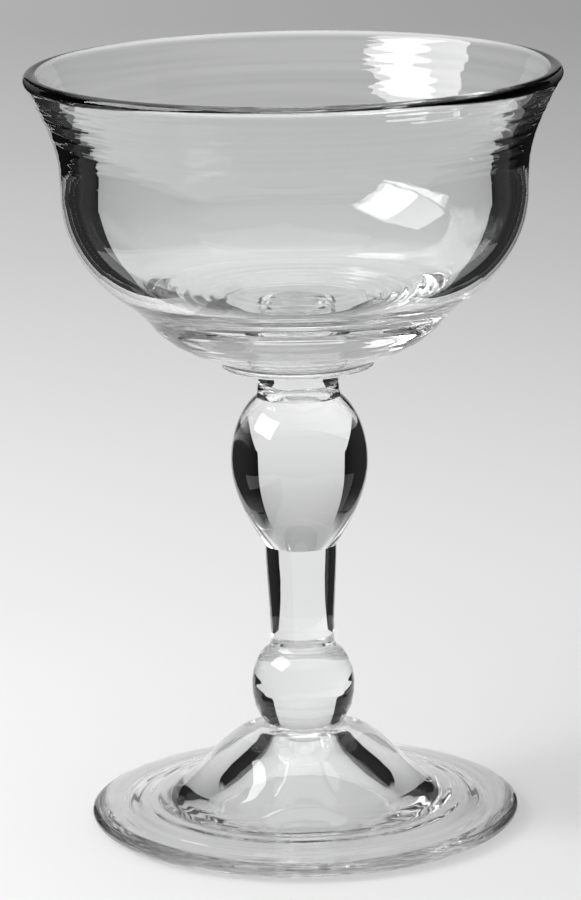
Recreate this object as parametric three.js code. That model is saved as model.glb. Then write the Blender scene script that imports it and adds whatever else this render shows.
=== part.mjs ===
// Sherbet glass: a footed drinking glass of clear glass, made up on one axis from
// separately formed pieces that are joined face to face. Millimetres, +Z up, with the
// origin at the centre of the ring that the foot stands on.

import * as THREE from "three";

// Foot: a flat flange round a hollow dome, heights from the table
const footHeight = 16.8;
const footRadius = 35.8;
const footEdgeHeight = 1.8;
const footEdgeOverhang = 3.8;
const standingRingWidth = 2.4;
const flangeWidth = 13.2;
const flangeThickness = 3.2;
const hollowRootHeight = 1.8;
const hollowRootSetback = 1.1;
const crownRadius = 8.4;
const crownThickness = 4.6;
const collarHeight = 1.1;

// Ball knop, heights from its joint with the foot
const ballLength = 14.6;
const ballRadius = 8.55;
const ballEquatorHeight = 6.3;
const ballCollarHeight = 2.0;
const ballCollarRadius = 6.0;

// Waist and baluster knop, heights from their lower joints
const waistLength = 15.8;
const knopLength = 25.3;
const knopRadius = 11.35;
const knopBellyHeight = 14.3;

// Neck and merese, the thin disc that carries the bowl
const neckLength = 5.0;
const mereseThickness = 1.1;
const mereseRadius = 12.1;

// Radii of the joints between the stem pieces, each shared by the two pieces that meet
const footJointRadius = 6.5;
const ballJointRadius = 5.3;
const waistJointRadius = 5.9;
const knopJointRadius = 7.0;
const neckJointRadius = 6.6;

// Bowl, heights from its seat on the merese
const bowlHeight = 48.4;
const rimRadius = 43.9;
const lipRadius = 1.2;
const shoulderRadius = 24.1;
const shoulderHeight = 6.7;
const haunchRadius = 28.8;
const haunchHeight = 11.1;
const bellyRadius = 38.25;
const bellyHeight = 28.4;
const bowlWall = 2.9;
const bowlBaseThickness = 10.4;

// Leans of the outlines, in degrees up from the level outward direction
const ringInnerLean = -25;
const hollowRootLean = -5;
const flangeRootLean = 157.5;
const crownLean = 168.5;
const footJointLean = 124;
const ballLowerLean = 45;
const ballCollarLean = 142;
const knopLowerLean = 57;
const knopUpperLean = 140;
const neckLowerLean = 104;
const seatLean = 19;
const shoulderLean = 52;
const haunchLean = 35;
const flareLean = 62;
const upright = 90;

// Pulls: how long a curve keeps the lean of its end, as a part of the chord it spans
const easyPull = 0.333;
const hollowPull = 0.4;
const edgePull = 0.12;
const flangePull = 0.46;
const bellyPull = 0.4;
const flarePull = 0.54;
const cornerPull = 0.18;
const floorPull = 0.66;

// Facets round the axis, and steps along each curve of an outline
const wideFacets = 48;
const stemFacets = 32;
const wideSteps = 6;
const stemSteps = 6;

// A point of an outline, with the direction in which the outline passes through it
function knot(radius, height, leanDegrees) {
  const lean = THREE.MathUtils.degToRad(leanDegrees);
  return {
    point: new THREE.Vector2(radius, height),
    heading: new THREE.Vector2(Math.cos(lean), Math.sin(lean)),
  };
}

// One smooth curve of an outline from a knot to the next
function bend(outline, from, to, pullOut = easyPull, pullIn = easyPull) {
  const chord = from.point.distanceTo(to.point);
  const leave = from.point.clone().addScaledVector(from.heading, pullOut * chord);
  const arrive = to.point.clone().addScaledVector(to.heading, -pullIn * chord);
  outline.bezierCurveTo(leave.x, leave.y, arrive.x, arrive.y, to.point.x, to.point.y);
}

// An outline that begins on the axis with a flat joint face
function jointFace(radius) {
  const outline = new THREE.Path();
  outline.moveTo(0, 0);
  outline.lineTo(radius, 0);
  return outline;
}

// Colourless polished glass
function clearGlass() {
  return new THREE.MeshStandardMaterial({
    color: 0xe8eeee,
    roughness: 0.03,
    metalness: 0,
    transparent: true,
    opacity: 0.35,
  });
}

// A turned piece: its outline spun about the axis and stood upright on its joint height
function turnedPiece(name, outline, steps, facets, jointHeight) {
  const geometry = new THREE.LatheGeometry(outline.getPoints(steps), facets);
  geometry.rotateX(Math.PI / 2);
  const piece = new THREE.Mesh(geometry, clearGlass());
  piece.name = name;
  piece.position.z = jointHeight;
  return piece;
}

// Foot: up inside the hollow's crown, down to the standing ring, round the edge, back over
// the flange and the dome, and into the collar that carries the stem
function footOutline() {
  const standingRingOuter = footRadius - footEdgeOverhang;
  const standingRingInner = standingRingOuter - standingRingWidth;
  const flangeRootRadius = footRadius - flangeWidth;
  const flangeRootHeight = hollowRootHeight + flangeThickness;

  const hollowCrown = knot(0, footHeight - crownThickness, 0);
  const hollowRoot = knot(flangeRootRadius - hollowRootSetback, hollowRootHeight, hollowRootLean);
  const ringInner = knot(standingRingInner, 0, ringInnerLean);
  const edge = knot(footRadius, footEdgeHeight, upright);
  const flangeRoot = knot(flangeRootRadius, flangeRootHeight, flangeRootLean);
  const crown = knot(crownRadius, footHeight - collarHeight, crownLean);
  const joint = knot(footJointRadius, footHeight, footJointLean);

  const outline = new THREE.Path();
  outline.moveTo(hollowCrown.point.x, hollowCrown.point.y);
  bend(outline, hollowCrown, hollowRoot, hollowPull, hollowPull);
  bend(outline, hollowRoot, ringInner);
  outline.lineTo(standingRingOuter, 0);
  outline.absellipse(standingRingOuter, footEdgeHeight, footEdgeOverhang, footEdgeHeight, -Math.PI / 2, 0);
  bend(outline, edge, flangeRoot, edgePull, flangePull);
  bend(outline, flangeRoot, crown);
  bend(outline, crown, joint);
  outline.lineTo(0, footHeight);
  return outline;
}

// Ball knop: a round bead that necks in to the waist above it
function ballKnopOutline() {
  const lower = knot(footJointRadius, 0, ballLowerLean);
  const equator = knot(ballRadius, ballEquatorHeight, upright);
  const collar = knot(ballCollarRadius, ballLength - ballCollarHeight, ballCollarLean);
  const upper = knot(ballJointRadius, ballLength, upright);

  const outline = jointFace(footJointRadius);
  bend(outline, lower, equator);
  bend(outline, equator, collar);
  bend(outline, collar, upper);
  outline.lineTo(0, ballLength);
  return outline;
}

// Waist: the slim length of stem that widens a little towards the knop
function waistOutline() {
  const lower = knot(ballJointRadius, 0, upright);
  const upper = knot(waistJointRadius, waistLength, upright);

  const outline = jointFace(ballJointRadius);
  bend(outline, lower, upper);
  outline.lineTo(0, waistLength);
  return outline;
}

// Baluster knop: the inverted pear of the stem, fullest above its middle
function balusterKnopOutline() {
  const lower = knot(waistJointRadius, 0, knopLowerLean);
  const belly = knot(knopRadius, knopBellyHeight, upright);
  const upper = knot(knopJointRadius, knopLength, knopUpperLean);

  const outline = jointFace(waistJointRadius);
  bend(outline, lower, belly);
  bend(outline, belly, upper);
  outline.lineTo(0, knopLength);
  return outline;
}

// Neck: the short plain length between the knop and the merese
function neckOutline() {
  const lower = knot(knopJointRadius, 0, neckLowerLean);
  const upper = knot(neckJointRadius, neckLength, upright);

  const outline = jointFace(knopJointRadius);
  bend(outline, lower, upper);
  outline.lineTo(0, neckLength);
  return outline;
}

// Merese: a flat disc with a half-round edge
function mereseOutline() {
  const edgeRadius = mereseThickness / 2;

  const outline = jointFace(mereseRadius);
  outline.absarc(mereseRadius, edgeRadius, edgeRadius, -Math.PI / 2, Math.PI / 2);
  outline.lineTo(0, mereseThickness);
  return outline;
}

// Bowl: out from the seat over the shoulder of the solid base, along the haunch to the belly,
// up the flare, round the lip, and down the inside of an even wall to the floor
function bowlOutline() {
  const lipCentre = new THREE.Vector2(rimRadius - lipRadius, bowlHeight - lipRadius);
  const lipStart = THREE.MathUtils.degToRad(flareLean - 90);
  const lipEnd = THREE.MathUtils.degToRad(flareLean + 90);
  const lipAcross = new THREE.Vector2(Math.cos(lipStart), Math.sin(lipStart)).multiplyScalar(lipRadius);
  const lipOuterPoint = lipCentre.clone().add(lipAcross);
  const lipInnerPoint = lipCentre.clone().sub(lipAcross);

  const seat = knot(mereseRadius, 0, seatLean);
  const shoulder = knot(shoulderRadius, shoulderHeight, shoulderLean);
  const haunch = knot(haunchRadius, haunchHeight, haunchLean);
  const belly = knot(bellyRadius, bellyHeight, upright);
  const lipOuter = knot(lipOuterPoint.x, lipOuterPoint.y, flareLean);
  const lipInner = knot(lipInnerPoint.x, lipInnerPoint.y, flareLean + 180);
  const innerBelly = knot(bellyRadius - bowlWall, bellyHeight, upright + 180);
  const wallAcross = new THREE.Vector2(-haunch.heading.y, haunch.heading.x).multiplyScalar(bowlWall);
  const innerHaunchPoint = haunch.point.clone().add(wallAcross);
  const innerHaunch = knot(innerHaunchPoint.x, innerHaunchPoint.y, haunchLean + 180);
  const floor = knot(0, bowlBaseThickness, 180);

  const outline = jointFace(mereseRadius);
  bend(outline, seat, shoulder);
  bend(outline, shoulder, haunch);
  bend(outline, haunch, belly, easyPull, bellyPull);
  bend(outline, belly, lipOuter, easyPull, flarePull);
  outline.absarc(lipCentre.x, lipCentre.y, lipRadius, lipStart, lipEnd);
  bend(outline, lipInner, innerBelly, flarePull, easyPull);
  bend(outline, innerBelly, innerHaunch, bellyPull, easyPull);
  bend(outline, innerHaunch, floor, cornerPull, floorPull);
  return outline;
}

// Joint heights, stacked up from the table
const ballJointHeight = footHeight;
const waistJointHeight = ballJointHeight + ballLength;
const knopJointHeight = waistJointHeight + waistLength;
const neckJointHeight = knopJointHeight + knopLength;
const mereseJointHeight = neckJointHeight + neckLength;
const bowlSeatHeight = mereseJointHeight + mereseThickness;

const sherbetGlass = new THREE.Group();
sherbetGlass.name = "sherbet_glass";
sherbetGlass.add(
  turnedPiece("foot", footOutline(), wideSteps, wideFacets, 0),
  turnedPiece("ball_knop", ballKnopOutline(), stemSteps, stemFacets, ballJointHeight),
  turnedPiece("waist", waistOutline(), stemSteps, stemFacets, waistJointHeight),
  turnedPiece("baluster_knop", balusterKnopOutline(), stemSteps, stemFacets, knopJointHeight),
  turnedPiece("neck", neckOutline(), stemSteps, stemFacets, neckJointHeight),
  turnedPiece("merese", mereseOutline(), stemSteps, wideFacets, mereseJointHeight),
  turnedPiece("bowl", bowlOutline(), wideSteps, wideFacets, bowlSeatHeight),
);

export default sherbetGlass;
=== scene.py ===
import math

import bmesh
import bpy
from mathutils import Matrix, Vector
from mathutils.geometry import interpolate_bezier


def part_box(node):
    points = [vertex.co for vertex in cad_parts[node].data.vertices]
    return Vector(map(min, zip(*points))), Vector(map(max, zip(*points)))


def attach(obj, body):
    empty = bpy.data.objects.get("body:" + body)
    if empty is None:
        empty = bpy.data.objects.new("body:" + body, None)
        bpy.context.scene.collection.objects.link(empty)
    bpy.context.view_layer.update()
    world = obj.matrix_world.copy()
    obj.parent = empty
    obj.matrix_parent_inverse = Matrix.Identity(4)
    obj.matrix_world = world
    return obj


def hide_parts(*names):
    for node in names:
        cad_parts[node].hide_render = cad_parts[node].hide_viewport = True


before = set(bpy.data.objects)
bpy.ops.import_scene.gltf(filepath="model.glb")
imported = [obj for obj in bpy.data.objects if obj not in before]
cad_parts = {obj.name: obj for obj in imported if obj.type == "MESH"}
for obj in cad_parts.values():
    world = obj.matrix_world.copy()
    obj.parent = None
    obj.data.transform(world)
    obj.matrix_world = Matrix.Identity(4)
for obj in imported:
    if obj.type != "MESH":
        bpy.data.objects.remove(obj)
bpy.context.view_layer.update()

scene = bpy.context.scene

# Foot
# A gather of clear glass, spun out flat into a thin flange round a hollow dome. The wooden
# tools that flattened it left rings in the flange, and its collar is welded to the stem.

foot_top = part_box("foot")[1].z
foot_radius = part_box("foot")[1].x
foot_edge_height = 0.0018
foot_edge_overhang = 0.0038
edge_pull = 0.12
standing_ring_width = 0.0024
ring_inner_lean = -25
flange_width = 0.0132
flange_thickness = 0.0032
flange_root_lean = 157.5
flange_pull = 0.46
hollow_root_height = 0.0018
hollow_root_setback = 0.0011
hollow_root_lean = -5
hollow_pull = 0.4
crown_radius = 0.0084
crown_thickness = 0.0046
crown_lean = 168.5
collar_height = 0.0011
foot_joint_radius = 0.0065
foot_joint_lean = 124
upright = 90
easy_pull = 0.333
facets = 192
merge_distance = 1e-7
joint_tolerance = 1e-6
sharp_angle = 35
flange_rings_inner = 0.0232
flange_rings_outer = 0.0342
flange_ring_spacing = 0.0024
flange_ring_depth = 0.00006
fine_ring_spacing = 0.0021
fine_ring_depth = 0.00003
fine_rings_start = 0.019
fine_rings_full = 0.027
fine_rings_on_dome = 0.1
foot_lets_through = 0.84


def knot(radius, height, lean):
    """A point of an outline and the direction in which the outline passes through it."""
    angle = math.radians(lean)
    return Vector((radius, 0, height)), Vector((math.cos(angle), 0, math.sin(angle)))


def bend(start, end, pull_out=easy_pull, pull_in=easy_pull, steps=26):
    """The points of one smooth curve of an outline, from a knot to the next."""
    chord = (end[0] - start[0]).length
    leave = start[0] + start[1] * pull_out * chord
    arrive = end[0] - end[1] * pull_in * chord
    return interpolate_bezier(start[0], leave, arrive, end[0], steps)


def round_edge(centre, half_width, half_height, start, end, steps=18):
    """The points of a rounded edge, between two angles in degrees up from level."""
    angles = [math.radians(start + (end - start) * step / steps) for step in range(steps + 1)]
    return [centre + Vector((half_width * math.cos(a), 0, half_height * math.sin(a))) for a in angles]


def with_rings(points, lower, upper, spacing, depth, along):
    """An outline with the shallow rings that a tool left between two radii or two heights."""
    axis, lift = {"radius": (0, Vector((0, 0, 1))), "height": (2, Vector((1, 0, 0)))}[along]
    marked = []
    for point in points:
        place = point[axis]
        fade = min(1, max(0, min(place - lower, upper - place) / spacing))
        wave = math.sin(math.tau * (place - lower) / spacing)
        marked.append(point + lift * depth * fade * wave)
    return marked


def turn_piece(name, stretches, glass, joints):
    """A turned piece, whose flat joint faces are welded and carry no surface of their own."""
    shape = bmesh.new()
    corners = [shape.verts.new(point) for stretch in stretches for point in stretch]
    bmesh.ops.remove_doubles(shape, verts=corners, dist=merge_distance)
    shape.verts.ensure_lookup_table()
    for lower, upper in zip(shape.verts[:-1], shape.verts[1:]):
        shape.edges.new((lower, upper))
    outline = shape.verts[:] + shape.edges[:]
    bmesh.ops.spin(
        shape, geom=outline, cent=(0, 0, 0), axis=(0, 0, 1), dvec=(0, 0, 0),
        angle=math.tau, steps=facets, use_merge=True, use_normal_flip=False, use_duplicate=False,
    )
    bmesh.ops.remove_doubles(shape, verts=shape.verts, dist=merge_distance)
    bmesh.ops.recalc_face_normals(shape, faces=shape.faces)
    for face in shape.faces:
        face.smooth = True
        middle = face.calc_center_median()
        for height, radius in joints:
            if abs(middle.z - height) < joint_tolerance and middle.xy.length < radius:
                face.material_index = 1
    mesh = bpy.data.meshes.new(name)
    shape.to_mesh(mesh)
    shape.free()
    mesh.set_sharp_from_angle(angle=math.radians(sharp_angle))
    mesh.materials.append(glass)
    mesh.materials.append(weld)
    piece = bpy.data.objects.new(name, mesh)
    scene.collection.objects.link(piece)
    return piece


def new_material(name):
    """A material with nothing in it but its output."""
    material = bpy.data.materials.new(name)
    material.use_nodes = True
    material.node_tree.nodes.clear()
    material.node_tree.nodes.new("ShaderNodeOutputMaterial")
    return material


def node(material, kind, inputs=(), **settings):
    """A node whose sockets are filled from a value or linked to another node's socket."""
    made = material.node_tree.nodes.new("ShaderNode" + kind)
    for key, value in settings.items():
        setattr(made, key, value)
    for key, value in dict(inputs).items():
        if isinstance(value, bpy.types.NodeSocket):
            material.node_tree.links.new(value, made.inputs[key])
        else:
            made.inputs[key].default_value = value
    return made


def maths(material, operation, one, other=0.0, **settings):
    """The result of one sum, on values or on other nodes' sockets."""
    return node(material, "Math", {0: one, 1: other}, operation=operation, **settings).outputs[0]


def fading(material, reading, start, end, first=0.0, last=1.0, **settings):
    """A level that goes from first to last while a reading goes from start to end."""
    return node(material, "MapRange", {
        "Value": reading, "From Min": start, "From Max": end, "To Min": first, "To Max": last,
    }, **settings).outputs[0]


def either(material, share, one, other):
    """The first of two shaders, and the second where the share is 1."""
    return node(material, "MixShader", {0: share, 1: one.outputs[0], 2: other.outputs[0]})


def show(material, shader):
    """Puts a shader on the material's output."""
    surface = material.node_tree.nodes["Material Output"].inputs["Surface"]
    material.node_tree.links.new(shader.outputs[0], surface)


weld = new_material("welded_joint")
show(weld, node(weld, "BsdfTransparent"))


def polish(glass, height, depth, lets_through, roughness=0.012):
    """Clear glass with shallow marks on its surface, which lets a share of the lamps' light through."""
    marks = node(glass, "Bump", {"Strength": 1.0, "Distance": depth, "Height": height})
    clear = node(glass, "BsdfPrincipled", {
        "Base Color": (0.985, 0.99, 0.99, 1),
        "Roughness": roughness,
        "IOR": 1.5,
        "Transmission Weight": 1.0,
        "Normal": marks.outputs[0],
    })
    lamp_light = node(glass, "BsdfTransparent", {"Color": (lets_through, lets_through, lets_through, 1)})
    path = node(glass, "LightPath").outputs
    light = maths(glass, "MAXIMUM", path["Is Shadow Ray"], path["Is Diffuse Ray"])
    show(glass, either(glass, light, clear, lamp_light))


def wave_scale(spacing):
    """The scale at which a wave texture, which runs 20 times as fast, repeats at a spacing."""
    return math.tau / (20 * spacing)


foot_glass = new_material("foot_glass")
place = node(foot_glass, "TexCoord").outputs["Object"]
rings = node(foot_glass, "TexWave", {
    "Vector": place,
    "Scale": wave_scale(fine_ring_spacing),
    "Distortion": 2.5,
    "Detail": 2.0,
    "Detail Scale": 0.3,
}, wave_type="RINGS", rings_direction="Z")
off_middle = node(foot_glass, "VectorMath", {0: place}, operation="LENGTH").outputs["Value"]
on_flange = fading(foot_glass, off_middle, fine_rings_start, fine_rings_full, first=fine_rings_on_dome)
ring_marks = maths(foot_glass, "MULTIPLY", rings.outputs["Fac"], on_flange)
polish(foot_glass, ring_marks, fine_ring_depth, foot_lets_through)

standing_ring_outer = foot_radius - foot_edge_overhang
flange_root_radius = foot_radius - flange_width
hollow_crown = knot(0, foot_top - crown_thickness, 0)
hollow_root = knot(flange_root_radius - hollow_root_setback, hollow_root_height, hollow_root_lean)
ring_inner = knot(standing_ring_outer - standing_ring_width, 0, ring_inner_lean)
foot_edge = knot(foot_radius, foot_edge_height, upright)
flange_root = knot(flange_root_radius, hollow_root_height + flange_thickness, flange_root_lean)
crown = knot(crown_radius, foot_top - collar_height, crown_lean)
foot_collar = knot(foot_joint_radius, foot_top, foot_joint_lean)
edge_centre = Vector((standing_ring_outer, 0, foot_edge_height))
flange = with_rings(
    bend(foot_edge, flange_root, edge_pull, flange_pull, steps=120),
    flange_rings_inner, flange_rings_outer, flange_ring_spacing, flange_ring_depth, "radius",
)
foot = turn_piece("foot_turned", [
    bend(hollow_crown, hollow_root, hollow_pull, hollow_pull, steps=40),
    bend(hollow_root, ring_inner),
    round_edge(edge_centre, foot_edge_overhang, foot_edge_height, -90, 0),
    flange,
    bend(flange_root, crown, steps=40),
    bend(crown, foot_collar),
    [Vector((0, 0, foot_top))],
], foot_glass, [(foot_top, foot_joint_radius)])
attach(foot, "root")
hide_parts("foot")

# Ball knop
# A round bead of hot glass, dropped on the foot's collar and turned to shape, which left
# faint level ridges round it.

ball_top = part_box("ball_knop")[1].z
ball_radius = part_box("ball_knop")[1].x
ball_lower_lean = 45
ball_equator_height = 0.0063
ball_collar_height = 0.002
ball_collar_radius = 0.006
ball_collar_lean = 142
ball_joint_radius = 0.0053
ball_ridge_spacing = 0.0022
ball_ridge_depth = 0.00003
stem_lets_through = 0.45

ball_glass = new_material("ball_knop_glass")
place = node(ball_glass, "TexCoord").outputs["Object"]
ridges = node(ball_glass, "TexWave", {
    "Vector": place,
    "Scale": wave_scale(ball_ridge_spacing),
    "Distortion": 2.0,
    "Detail": 2.0,
    "Detail Scale": 0.5,
}, wave_type="BANDS", bands_direction="Z")
polish(ball_glass, ridges.outputs["Fac"], ball_ridge_depth, stem_lets_through)

equator_top = foot_top + ball_equator_height
ball_lower = knot(foot_joint_radius, foot_top, ball_lower_lean)
ball_equator = knot(ball_radius, equator_top, upright)
ball_collar = knot(ball_collar_radius, ball_top - ball_collar_height, ball_collar_lean)
ball_upper = knot(ball_joint_radius, ball_top, upright)
ball_underside = with_rings(
    bend(ball_lower, ball_equator, steps=60),
    foot_top, equator_top, ball_ridge_spacing, ball_ridge_depth, "height",
)
ball_knop = turn_piece("ball_knop_turned", [
    [Vector((0, 0, foot_top))],
    ball_underside,
    bend(ball_equator, ball_collar),
    bend(ball_collar, ball_upper),
    [Vector((0, 0, ball_top))],
], ball_glass, [(foot_top, foot_joint_radius), (ball_top, ball_joint_radius)])
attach(ball_knop, "root")
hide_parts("ball_knop")

# Waist
# The slim length of stem, drawn out of the same gather as the knop above it, so its
# surface is nearly smooth.

waist_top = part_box("waist")[1].z
waist_joint_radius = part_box("waist")[1].x
waist_mark_depth = 0.00004

waist_glass = new_material("waist_glass")
place = node(waist_glass, "TexCoord").outputs["Object"]
drawn = node(waist_glass, "TexNoise", {"Vector": place, "Scale": 160.0, "Detail": 1.0})
polish(waist_glass, drawn.outputs["Fac"], waist_mark_depth, stem_lets_through)

waist = turn_piece("waist_turned", [
    [Vector((0, 0, ball_top))],
    bend(ball_upper, knot(waist_joint_radius, waist_top, upright)),
    [Vector((0, 0, waist_top))],
], waist_glass, [(ball_top, ball_joint_radius), (waist_top, waist_joint_radius)])
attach(waist, "root")
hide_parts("waist")

# Baluster knop
# The inverted pear of the stem, a solid drop of clear glass that was shaped while it turned,
# so its surface is nearly smooth.

knop_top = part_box("baluster_knop")[1].z
knop_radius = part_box("baluster_knop")[1].x
knop_lower_lean = 57
knop_belly_height = 0.0143
knop_upper_lean = 140
knop_joint_radius = 0.007
knop_mark_depth = 0.00003

knop_glass = new_material("baluster_knop_glass")
place = node(knop_glass, "TexCoord").outputs["Object"]
drawn = node(knop_glass, "TexNoise", {"Vector": place, "Scale": 140.0, "Detail": 1.0})
polish(knop_glass, drawn.outputs["Fac"], knop_mark_depth, stem_lets_through)

knop_lower = knot(waist_joint_radius, waist_top, knop_lower_lean)
knop_belly = knot(knop_radius, waist_top + knop_belly_height, upright)
knop_upper = knot(knop_joint_radius, knop_top, knop_upper_lean)
baluster_knop = turn_piece("baluster_knop_turned", [
    [Vector((0, 0, waist_top))],
    bend(knop_lower, knop_belly, steps=40),
    bend(knop_belly, knop_upper, steps=40),
    [Vector((0, 0, knop_top))],
], knop_glass, [(waist_top, waist_joint_radius), (knop_top, knop_joint_radius)])
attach(baluster_knop, "root")
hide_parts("baluster_knop")

# Neck
# The short plain length that was pinched off over the knop with the jacks, whose blades
# left it slightly crumpled.

neck_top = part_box("neck")[1].z
neck_lower_lean = 104
neck_joint_radius = 0.0066
neck_crumple_depth = 0.0002

neck_glass = new_material("neck_glass")
place = node(neck_glass, "TexCoord").outputs["Object"]
pinched = node(neck_glass, "TexNoise", {"Vector": place, "Scale": 300.0, "Detail": 1.0})
polish(neck_glass, pinched.outputs["Fac"], neck_crumple_depth, stem_lets_through)

neck_lower = knot(knop_joint_radius, knop_top, neck_lower_lean)
neck = turn_piece("neck_turned", [
    [Vector((0, 0, knop_top))],
    bend(neck_lower, knot(neck_joint_radius, neck_top, upright)),
    [Vector((0, 0, neck_top))],
], neck_glass, [(knop_top, knop_joint_radius), (neck_top, neck_joint_radius)])
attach(neck, "root")
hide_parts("neck")

# Merese
# The thin disc between stem and bowl, a flattened drop of glass with a half-round edge. The
# neck is welded to the middle of its underside, and the bowl to all of its top.

merese_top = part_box("merese")[1].z
merese_edge_radius = (merese_top - neck_top) / 2
merese_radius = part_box("merese")[1].x - merese_edge_radius
merese_mark_depth = 0.00004
merese_lets_through = 0.6

merese_glass = new_material("merese_glass")
place = node(merese_glass, "TexCoord").outputs["Object"]
pressed = node(merese_glass, "TexNoise", {"Vector": place, "Scale": 200.0, "Detail": 1.0})
polish(merese_glass, pressed.outputs["Fac"], merese_mark_depth, merese_lets_through)

merese_edge_centre = Vector((merese_radius, 0, neck_top + merese_edge_radius))
merese = turn_piece("merese_turned", [
    [Vector((0, 0, neck_top)), Vector((neck_joint_radius, 0, neck_top))],
    round_edge(merese_edge_centre, merese_edge_radius, merese_edge_radius, -90, 90),
    [Vector((0, 0, merese_top))],
], merese_glass, [(neck_top, neck_joint_radius), (merese_top, merese_radius)])
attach(merese, "root")
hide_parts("merese")

# Bowl
# A bubble of clear glass blown into a bell, with a thick base, opened and flared at the
# fire. The jacks that flared it left level ridges under the rounded lip.

bowl_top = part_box("bowl")[1].z
rim_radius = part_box("bowl")[1].x
lip_radius = 0.0012
seat_lean = 19
shoulder_radius = 0.0241
shoulder_height = 0.0067
shoulder_lean = 52
haunch_radius = 0.0288
haunch_height = 0.0111
haunch_lean = 35
belly_radius = 0.03825
belly_height = 0.0284
belly_pull = 0.4
flare_lean = 62
flare_pull = 0.54
bowl_wall = 0.0029
bowl_base_thickness = 0.0104
corner_pull = 0.18
floor_pull = 0.66
flare_ridges_lower = 0.1115
flare_ridges_upper = 0.1255
flare_ridge_spacing = 0.0017
flare_ridge_depth = 0.000004
base_ring_spacing = 0.0024
base_ring_depth = 0.00004
haunch_ring_spacing = 0.0016
haunch_ring_depth = 0.00002
floor_rings_inner = 0.008
floor_rings_outer = 0.021
floor_ring_spacing = 0.003
floor_ring_depth = 0.00002
jack_marks_start = 0.111
jack_marks_full = 0.117
jack_mark_depth = 0.00025
bowl_lets_through = 0.8

bowl_glass = new_material("bowl_glass")
place = node(bowl_glass, "TexCoord").outputs["Object"]
drawn_round = node(bowl_glass, "Mapping", {"Vector": place, "Scale": (15, 15, 420)})
ridges = node(bowl_glass, "TexNoise", {"Vector": drawn_round.outputs[0], "Scale": 1.0, "Detail": 1.0})
height = node(bowl_glass, "SeparateXYZ", {0: place}).outputs["Z"]
on_flare = fading(bowl_glass, height, jack_marks_start, jack_marks_full)
ridge_marks = maths(bowl_glass, "MULTIPLY", ridges.outputs["Fac"], on_flare)
polish(bowl_glass, ridge_marks, jack_mark_depth, bowl_lets_through, roughness=0.0)


def flared(points):
    """An outline of the flare, with the ridges that the jacks left."""
    return with_rings(
        points, flare_ridges_lower, flare_ridges_upper, flare_ridge_spacing, flare_ridge_depth, "height",
    )


lip_centre = Vector((rim_radius - lip_radius, 0, bowl_top - lip_radius))
lip_points = round_edge(lip_centre, lip_radius, lip_radius, flare_lean - 90, flare_lean + 90)
seat = knot(merese_radius, merese_top, seat_lean)
shoulder = knot(shoulder_radius, merese_top + shoulder_height, shoulder_lean)
haunch = knot(haunch_radius, merese_top + haunch_height, haunch_lean)
belly = knot(belly_radius, merese_top + belly_height, upright)
lip_outer = knot(lip_points[0].x, lip_points[0].z, flare_lean)
lip_inner = knot(lip_points[-1].x, lip_points[-1].z, flare_lean + 180)
inner_belly = knot(belly_radius - bowl_wall, merese_top + belly_height, upright + 180)
inner_haunch_point = haunch[0] + Vector((-haunch[1].z, 0, haunch[1].x)) * bowl_wall
inner_haunch = knot(inner_haunch_point.x, inner_haunch_point.z, haunch_lean + 180)
floor_centre = knot(0, merese_top + bowl_base_thickness, 180)
base = with_rings(
    bend(seat, shoulder, steps=52),
    merese_radius, shoulder_radius, base_ring_spacing, base_ring_depth, "radius",
)
base_edge = with_rings(
    bend(shoulder, haunch, steps=32),
    shoulder_radius, haunch_radius, haunch_ring_spacing, haunch_ring_depth, "radius",
)
bowl_floor = with_rings(
    bend(inner_haunch, floor_centre, corner_pull, floor_pull, steps=90),
    floor_rings_inner, floor_rings_outer, floor_ring_spacing, floor_ring_depth, "radius",
)
bowl = turn_piece("bowl_turned", [
    [Vector((0, 0, merese_top))],
    base,
    base_edge,
    bend(haunch, belly, pull_in=belly_pull, steps=36),
    flared(bend(belly, lip_outer, pull_in=flare_pull, steps=112)),
    lip_points,
    flared(bend(lip_inner, inner_belly, pull_out=flare_pull, steps=112)),
    bend(inner_belly, inner_haunch, pull_out=belly_pull, steps=36),
    bowl_floor,
], bowl_glass, [(merese_top, merese_radius)])
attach(bowl, "root")
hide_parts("bowl")

# Floor
# A sweep of white paper on a dark table. Close to the glass it is plain paper that takes the
# shadow, and further off it glows with painted light that fades from white to grey and is brighter
# on the left, towards the soft box. Only the glass shows the bare table.

floor_half_size = 6
floor_drop = 0.0002
plain_paper_radius = 0.1
faded_paper_radius = 0.17
paper_half_width = 0.076
strip_spread = 0.84
strip_end_spread = 1.0
least_reach = 0.01
bare_table_distance = 0.2
through_wall_depth = 2.5
mirrored_depth = 0.5

paper = new_material("paper_sweep")
place = node(paper, "TexCoord").outputs["Object"]
across = node(paper, "SeparateXYZ", {0: place}).outputs
distance = node(paper, "VectorMath", {0: place}, operation="LENGTH").outputs["Value"]
near_paper = node(paper, "BsdfDiffuse", {"Color": (0.8, 0.8, 0.8, 1)})
# Painted light: further off, the paper glows from white to grey as the soft box's light would fall off.
painted_fall_off = node(paper, "ValToRGB", {"Fac": across["Y"]})
painted_fall_off.color_ramp.interpolation = "B_SPLINE"
fades = painted_fall_off.color_ramp.elements
fades[0].position = 0.0
fades[0].color = (0.84, 0.84, 0.84, 1)
fades[1].position = 1.0
fades[1].color = (0.37, 0.37, 0.37, 1)
for position, tone in ((0.12, 0.84), (0.27, 0.73), (0.38, 0.66), (0.51, 0.565), (0.69, 0.49)):
    fades.new(position).color = (tone, tone, tone, 1)
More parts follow.
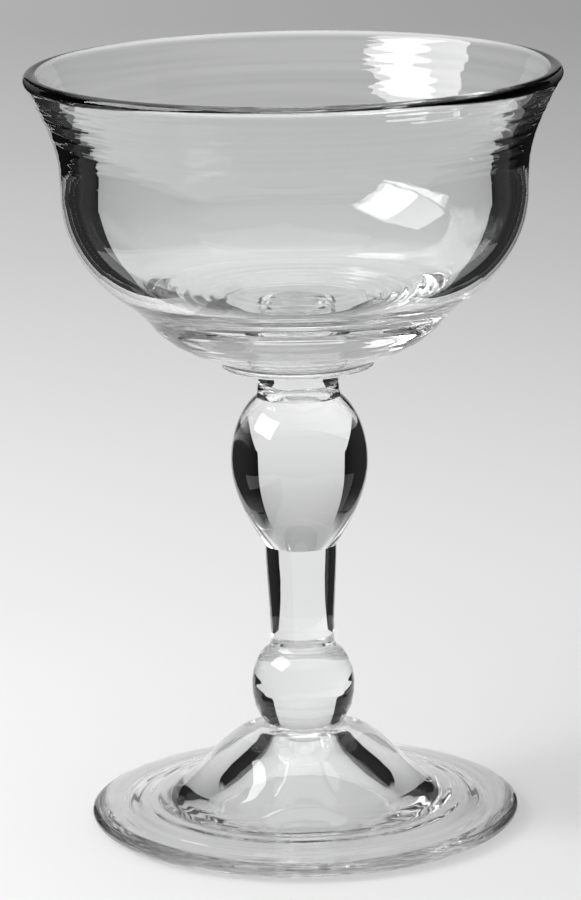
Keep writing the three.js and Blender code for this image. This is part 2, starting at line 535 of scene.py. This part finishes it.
# Painted light: brighter on the left, towards the soft box, darker to the right and at the far left.
painted_side_light = fading(paper, across["X"], start=-0.2, end=0.2, first=1.2, last=0.8)
painted_left_dimming = fading(paper, across["X"], start=-0.7, end=-0.2, first=0.714, last=1.0)
painted_brightness = maths(paper, "MULTIPLY", painted_side_light, painted_left_dimming)
painted_far_paper = node(paper, "Emission", {"Color": painted_fall_off.outputs["Color"], "Strength": painted_brightness})
beyond = fading(paper, distance, plain_paper_radius, faded_paper_radius, interpolation_type="SMOOTHSTEP")
path = node(paper, "LightPath").outputs
seen = maths(paper, "MAXIMUM", path["Is Camera Ray"], path["Is Glossy Ray"])
seen = maths(paper, "MAXIMUM", seen, path["Is Transmission Ray"])
sweep = either(paper, maths(paper, "MULTIPLY", beyond, seen), near_paper, painted_far_paper)

# The walls of the bowl show a strip of the table on each side of the paper, and mirrored
# light shows the table all round.
aside = maths(paper, "ABSOLUTE", across["X"])
off_paper = maths(paper, "GREATER_THAN", aside, paper_half_width)
reach = maths(paper, "MAXIMUM", across["Y"], least_reach)
spread = maths(paper, "DIVIDE", aside, reach)
behind = fading(paper, spread, strip_spread, strip_end_spread, first=1.0, last=0.0)
through_wall = maths(paper, "GREATER_THAN", path["Transmission Depth"], through_wall_depth)
strip = maths(paper, "MULTIPLY", off_paper, behind)
strip = maths(paper, "MULTIPLY", strip, through_wall)
far_aside = maths(paper, "GREATER_THAN", aside, bare_table_distance)
in_front = maths(paper, "LESS_THAN", across["Y"], -bare_table_distance)
mirrored = maths(paper, "GREATER_THAN", path["Glossy Depth"], mirrored_depth)
around = maths(paper, "MAXIMUM", far_aside, in_front)
around = maths(paper, "MULTIPLY", around, mirrored)
table = node(paper, "Emission", {"Strength": 0.03})
show(paper, either(paper, maths(paper, "MAXIMUM", strip, around), sweep, table))


def stage_piece(name, shape, material):
    """A piece of the stage, made from a finished shape."""
    mesh = bpy.data.meshes.new(name)
    shape.to_mesh(mesh)
    shape.free()
    mesh.materials.append(material)
    made = bpy.data.objects.new(name, mesh)
    scene.collection.objects.link(made)
    return made


shape = bmesh.new()
bmesh.ops.create_grid(shape, x_segments=1, y_segments=1, size=floor_half_size)
bmesh.ops.translate(shape, verts=shape.verts, vec=(0, 0, -floor_drop))
floor = stage_piece("paper_sweep", shape, paper)

# Rise of the sweep
# The paper turns up behind the glass and glows with painted light that fades towards the top,
# with painted shade where light turned inside the glass. Only the glass shows it, so that it
# hides nothing from behind.

rise_start = 0.13
rise_distance = 0.175
rise_bend_height = 0.045
rise_bend_pull = 0.55
rise_height = 0.4
rise_right = 0.08
rise_width = 0.172
rise_half_width_in_bowl = 0.0725
rise_fade_height = 0.25

rise_paper = new_material("paper_rise")
place = node(rise_paper, "TexCoord").outputs["Object"]
across = node(rise_paper, "SeparateXYZ", {0: place}).outputs
# Painted light: the rise glows pale at its foot and grey towards its top.
painted_fade_up = node(rise_paper, "ValToRGB", {"Fac": fading(rise_paper, across["Z"], 0.0, rise_fade_height)})
fades = painted_fade_up.color_ramp.elements
fades[0].color = (0.8, 0.8, 0.8, 1)
fades[1].color = (0.3, 0.3, 0.3, 1)
for position, tone in ((0.11, 0.74), (0.19, 0.66), (0.27, 0.57), (0.35, 0.5), (0.47, 0.4)):
    fades.new(position).color = (tone, tone, tone, 1)
path = node(rise_paper, "LightPath").outputs
# Painted shade: the rise is dimmer for light that both crossed and turned inside the glass.
turns = maths(rise_paper, "MULTIPLY", path["Transmission Depth"], path["Glossy Depth"])
painted_dimming = fading(rise_paper, turns, start=2.0, end=4.0, first=1.0, last=0.2)
aside = maths(rise_paper, "ABSOLUTE", across["X"])
off_middle = maths(rise_paper, "GREATER_THAN", aside, rise_half_width_in_bowl)
through_wall = maths(rise_paper, "GREATER_THAN", path["Transmission Depth"], through_wall_depth)
hidden = maths(rise_paper, "MULTIPLY", off_middle, through_wall)
risen = node(rise_paper, "Emission", {"Color": painted_fade_up.outputs["Color"], "Strength": painted_dimming})
show(rise_paper, either(rise_paper, hidden, risen, node(rise_paper, "BsdfTransparent")))


def sheet_for_glass(name, edge_points, shift, material):
    """A sheet that an edge sweeps out as it is shifted, which only the glass shows."""
    shape = bmesh.new()
    corners = [shape.verts.new(point) for point in edge_points]
    edges = [shape.edges.new(pair) for pair in zip(corners[:-1], corners[1:])]
    swept = bmesh.ops.extrude_edge_only(shape, edges=edges)["geom"]
    far_edge = [part for part in swept if isinstance(part, bmesh.types.BMVert)]
    bmesh.ops.translate(shape, verts=far_edge, vec=shift)
    sheet = stage_piece(name, shape, material)
    sheet.visible_camera = False
    sheet.visible_diffuse = False
    sheet.visible_shadow = False
    return sheet


turn_up_end = knot(rise_distance, rise_bend_height, upright)
turn_up = bend(knot(rise_start, 0, 0), turn_up_end, rise_bend_pull, rise_bend_pull)
turn_up.append(Vector((rise_distance, 0, rise_height)))
rise_edge = [(rise_right, point.x, point.z) for point in turn_up]
rise = sheet_for_glass("paper_rise", rise_edge, (-rise_width, 0, 0), rise_paper)

# Black cards
# Cards that stand on both sides behind the glass, out of the picture, and draw its edges
# dark: a near pair for the solid stem and a far pair for the walls of the bowl. They glow
# faintly with painted light, darker towards the back and paler near the top. A small flag
# beside the foot keeps the glare of the soft box off the dome.

near_card_height = 0.3
far_card_height = 0.5
card_painted_light_from = 0.115
card_painted_light_to = 0.145
card_painted_light_tone = 0.4
glanced_height = 0.14
flag_lower = 0.008
flag_upper = 0.0435
before_glass_depth = 0.5


def black_card(name, corners, lower, upper, compare, depth, front, back):
    """A card folded through its corners, for light that crossed less or more glass than a depth."""
    card = new_material(name)
    place = node(card, "TexCoord").outputs["Object"]
    across = node(card, "SeparateXYZ", {0: place}).outputs
    # Painted light: the card glows, darker towards its back end and paler near its top.
    shade = fading(card, across["Y"], corners[0][1], corners[-1][1], front, back)
    painted_paler_top = fading(card, across["Z"], card_painted_light_from, card_painted_light_to, last=card_painted_light_tone)
    black = node(card, "Emission", {"Strength": maths(card, "ADD", shade, painted_paler_top)})
    path = node(card, "LightPath").outputs
    seen_by = maths(card, compare, path["Transmission Depth"], depth)
    if compare == "LESS_THAN":
        # Only the bowl is perfectly sharp, so light that isn't comes from the stem or the foot.
        # The bowl shows the card by mirrored light alone, and so stays clear from other sides.
        from_stem = maths(card, "SUBTRACT", 1.0, path["Is Singular Ray"])
        turned = maths(card, "MULTIPLY", path["Transmission Depth"], path["Glossy Depth"])
        low = maths(card, "LESS_THAN", across["Z"], glanced_height)
        glanced = maths(card, "MULTIPLY", path["Glossy Depth"], low)
        reached = maths(card, "MAXIMUM", turned, glanced)
        reached = maths(card, "MAXIMUM", from_stem, reached, use_clamp=True)
        seen_by = maths(card, "MULTIPLY", seen_by, reached)
    show(card, either(card, seen_by, node(card, "BsdfTransparent"), black))
    made = sheet_for_glass(name, [(x, y, lower) for x, y in corners], (0, 0, upper - lower), card)


near_right = [(0.062, 0.008), (0.068, 0.07), (0.094, 0.18), (0.09, 0.2)]
near_left = [(-0.066, 0.008), (-0.074, 0.06), (-0.106, 0.18), (-0.105, 0.2)]
for name, corners in (("near_card_right", near_right), ("near_card_left", near_left)):
    black_card(name, corners, 0, near_card_height, "LESS_THAN", through_wall_depth, front=0.025, back=0.006)
far_right = [(0.205, 0.245), (0.085, 0.277)]
far_left = [(-0.205, 0.245), (-0.094, 0.277)]
for name, corners in (("far_card_right", far_right), ("far_card_left", far_left)):
    black_card(name, corners, 0, far_card_height, "GREATER_THAN", through_wall_depth, front=0.02, back=0.01)
by_foot = [(-0.035, -0.06), (-0.035, 0.006)]
black_card("flag", by_foot, flag_lower, flag_upper, "LESS_THAN", before_glass_depth, front=0.02, back=0.02)

# Studio
# A broad soft box at the left and a large soft light overhead, in a grey room. The solid
# stem turns what is behind it upside down, so it shows the sweep rising and fading there.

soft_box_place = (-0.484, -0.12, 0.446)
soft_box_width = 0.5
soft_box_height = 0.4
soft_box_energy = 4.7
overhead_place = (0.1, 0.1, 1.2)
overhead_width = 0.9
overhead_energy = 2.6
lit_point = (0, 0, 0.06)
room_light = 0.3

scene.view_settings.view_transform = "Standard"
scene.cycles.max_bounces = 24
scene.cycles.transmission_bounces = 24
scene.cycles.glossy_bounces = 12
scene.cycles.transparent_max_bounces = 32
scene.cycles.caustics_reflective = False
scene.cycles.caustics_refractive = False


def soft_light(name, place, width, height, energy):
    """A soft light at a place, turned towards the glass."""
    lamp = bpy.data.lights.new(name, "AREA")
    lamp.shape = "RECTANGLE"
    lamp.size = width
    lamp.size_y = height
    lamp.energy = energy
    made = bpy.data.objects.new(name, lamp)
    made.location = place
    made.rotation_euler = (Vector(lit_point) - Vector(place)).to_track_quat("-Z", "Y").to_euler()
    scene.collection.objects.link(made)
    return made


soft_light("soft_box", soft_box_place, soft_box_width, soft_box_height, soft_box_energy)
overhead = soft_light("overhead", overhead_place, overhead_width, overhead_width, overhead_energy)
overhead.visible_glossy = False

room = bpy.data.worlds.new("studio_room")
room.use_nodes = True
room.node_tree.nodes.clear()
surroundings = room.node_tree.nodes.new("ShaderNodeOutputWorld")
towards = node(room, "SeparateXYZ", {0: node(room, "TexCoord").outputs["Generated"]}).outputs
path = node(room, "LightPath").outputs
backdrop = fading(room, towards["Y"], start=0.0, end=1.0, first=0.72, last=0.37)
rising_sweep = fading(room, towards["Z"], start=0.0, end=0.4, first=0.68, last=0.37)
ceiling = fading(room, towards["Z"], start=0.5, end=0.75, first=0.018, last=0.9)
seen = maths(room, "MAXIMUM", path["Is Camera Ray"], path["Is Transmission Ray"])
turned_back = maths(room, "GREATER_THAN", path["Glossy Depth"], mirrored_depth)
seen = maths(room, "SUBTRACT", seen, turned_back, use_clamp=True)
shown = node(room, "Mix", {0: path["Is Transmission Ray"], 2: backdrop, 3: rising_sweep}).outputs[0]
unlit = node(room, "Mix", {0: path["Is Diffuse Ray"], 2: ceiling, 3: room_light}).outputs[0]
tone = node(room, "Mix", {0: seen, 2: unlit, 3: shown}).outputs[0]
walls = node(room, "Background", {"Color": (1, 1, 1, 1), "Strength": tone})
room.node_tree.links.new(walls.outputs[0], surroundings.inputs["Surface"])
scene.world = room

# Camera
# A long lens in front of the glass, looking a little down on it.

photo_height = 900
focal_length_pixels = 4327
turn_pixels = 9.1
camera_place = (0, -0.697, 0.228)
look_down_degrees = 13.31
roll_degrees = -1.01

lens = bpy.data.cameras.new("camera")
lens.sensor_width = 36
lens.lens = lens.sensor_width * focal_length_pixels / photo_height
lens.clip_start = 0.01
turn = Matrix.Rotation(math.atan(turn_pixels / focal_length_pixels), 4, "Z")
look_down = Matrix.Rotation(math.radians(90 - look_down_degrees), 4, "X")
roll = Matrix.Rotation(math.radians(roll_degrees), 4, "Z")
camera = bpy.data.objects.new("camera", lens)
camera.matrix_world = Matrix.Translation(camera_place) @ turn @ look_down @ roll
scene.collection.objects.link(camera)
scene.camera = camera
